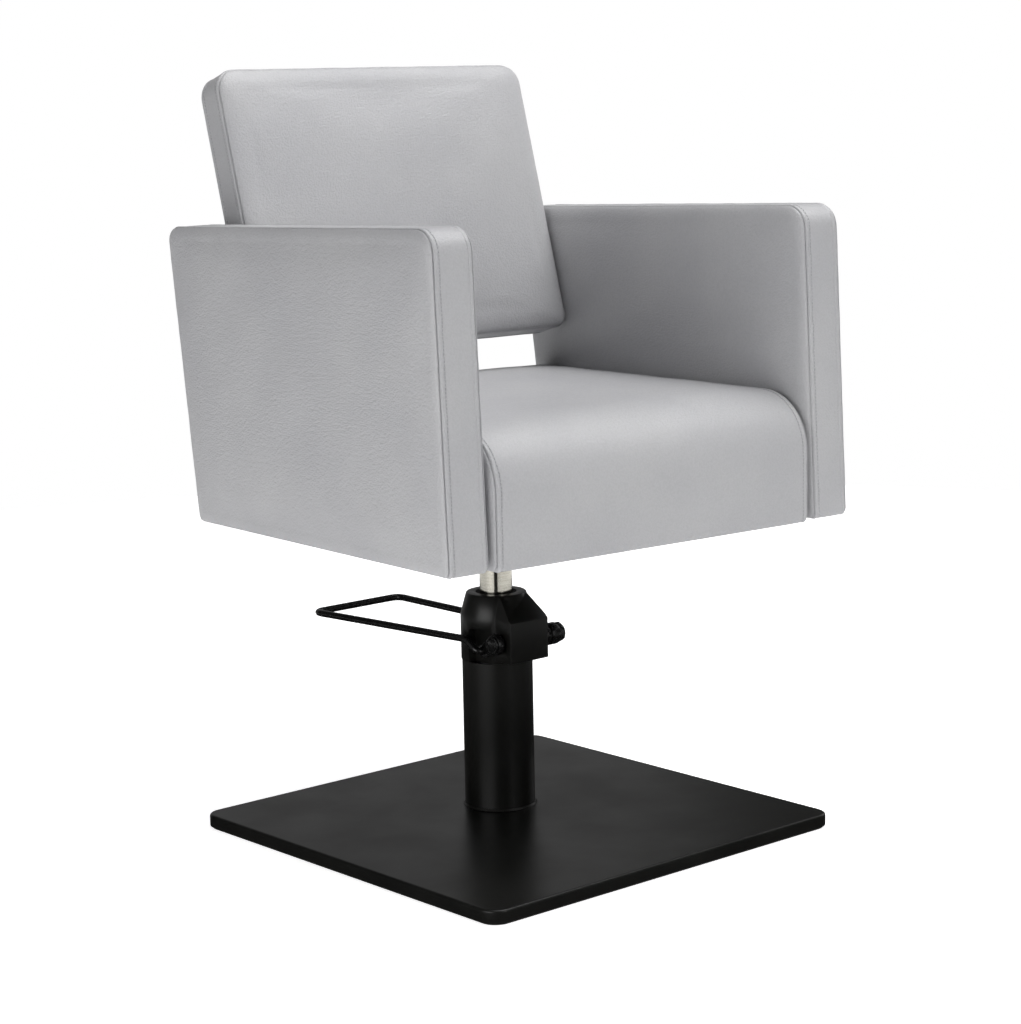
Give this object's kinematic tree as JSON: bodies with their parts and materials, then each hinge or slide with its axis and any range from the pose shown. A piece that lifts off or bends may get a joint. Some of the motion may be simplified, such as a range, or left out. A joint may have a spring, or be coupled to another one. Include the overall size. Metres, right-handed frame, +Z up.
{
  "type": "styling chair",
  "caption": "Hydraulic salon styling chair: grey leatherette seat, panel arms and leaning back on a swivelling ram, pump column with foot lever, square black base.",
  "frame": {"origin": "on the column's axis at floor level", "axes": "+Z up, the seat faces -Y, +X is the sitter's left when they face -Y"},
  "size_m": [0.6167, 0.6388, 0.9442],
  "materials": {
    "leatherette": "satin",
    "black_paint": "satin",
    "chrome": "polished",
    "steel": "satin",
    "bronze": "satin",
    "plywood": "matte",
    "rubber": "matte",
    "black_cloth": "matte"
  },
  "bodies": {
    "base": {"base_mat": "rubber", "base_cover": "black_paint", "base_ballast_plate": "steel", "column_tube": "black_paint", "column_foot_ring": "black_paint", "column_foot_cap": "steel", "cylinder_liner": "steel", "pump_head": "black_paint", "ram_wiper": "rubber", "plunger_barrel": "steel", "foot_bolt_1": "steel", "foot_bolt_2": "steel", "foot_bolt_3": "steel", "foot_bolt_4": "steel"},
    "ram": {"ram": "chrome", "piston_seal": "bronze"},
    "seat": {"seat_mount_plate": "black_paint", "seat_plate_bolt_1": "steel", "seat_plate_bolt_2": "steel", "seat_plate_bolt_3": "steel", "seat_plate_bolt_4": "steel", "left_arm_front_bolt": "steel", "left_arm_rear_bolt": "steel", "right_arm_front_bolt": "steel", "right_arm_rear_bolt": "steel", "left_back_lower_bolt": "steel", "left_back_upper_bolt": "steel", "right_back_lower_bolt": "steel", "right_back_upper_bolt": "steel", "seat_board": "plywood", "seat_front_rail": "plywood", "seat_back_rail": "plywood", "seat_left_rail": "plywood", "seat_right_rail": "plywood", "seat_deck": "plywood", "left_arm_board": "plywood", "right_arm_board": "plywood", "back_frame": "plywood", "seat_cushion": "leatherette", "left_arm_pad": "leatherette", "right_arm_pad": "leatherette", "back_cushion": "leatherette", "back_rear_panel": "leatherette", "seat_underlining": "black_cloth", "left_arm_bottom_strip": "black_cloth", "right_arm_bottom_strip": "black_cloth"},
    "lever": {"foot_lever": "black_paint", "left_lever_crank": "black_paint", "right_lever_crank": "black_paint", "lever_shaft": "steel", "lever_cam": "steel", "lever_retainer": "black_paint", "shaft_collar": "black_paint", "shaft_nut": "black_paint"},
    "plunger": {"pump_plunger": "steel", "plunger_spring": "steel"}
  },
  "joints": [
    {"name": "lift", "type": "slide", "parent": "base", "child": "ram", "axis": [0, 0, 1], "range_m": [0, 0.14]},
    {"name": "swivel", "type": "hinge", "parent": "ram", "child": "seat", "pos_m": [0, 0, 0.36], "axis": [0, 0, 1], "continuous": true},
    {"name": "pedal", "type": "hinge", "parent": "base", "child": "lever", "pos_m": [0.0027, -0.04292, 0.235], "axis": [0.998, 0.0628, 0], "range_deg": [-22, 0], "stiffness_Nm_per_rad": 6, "springref_deg": 17.19},
    {"name": "plunger_stroke", "type": "slide", "parent": "base", "child": "plunger", "axis": [0, 0, 1], "range_m": [-0.0022, 0.0002], "deforming": ["plunger_spring"]}
  ],
  "couplings": [
    {"joint": "plunger_stroke", "follows": "pedal", "m_per_rad": 0.005}
  ]
}
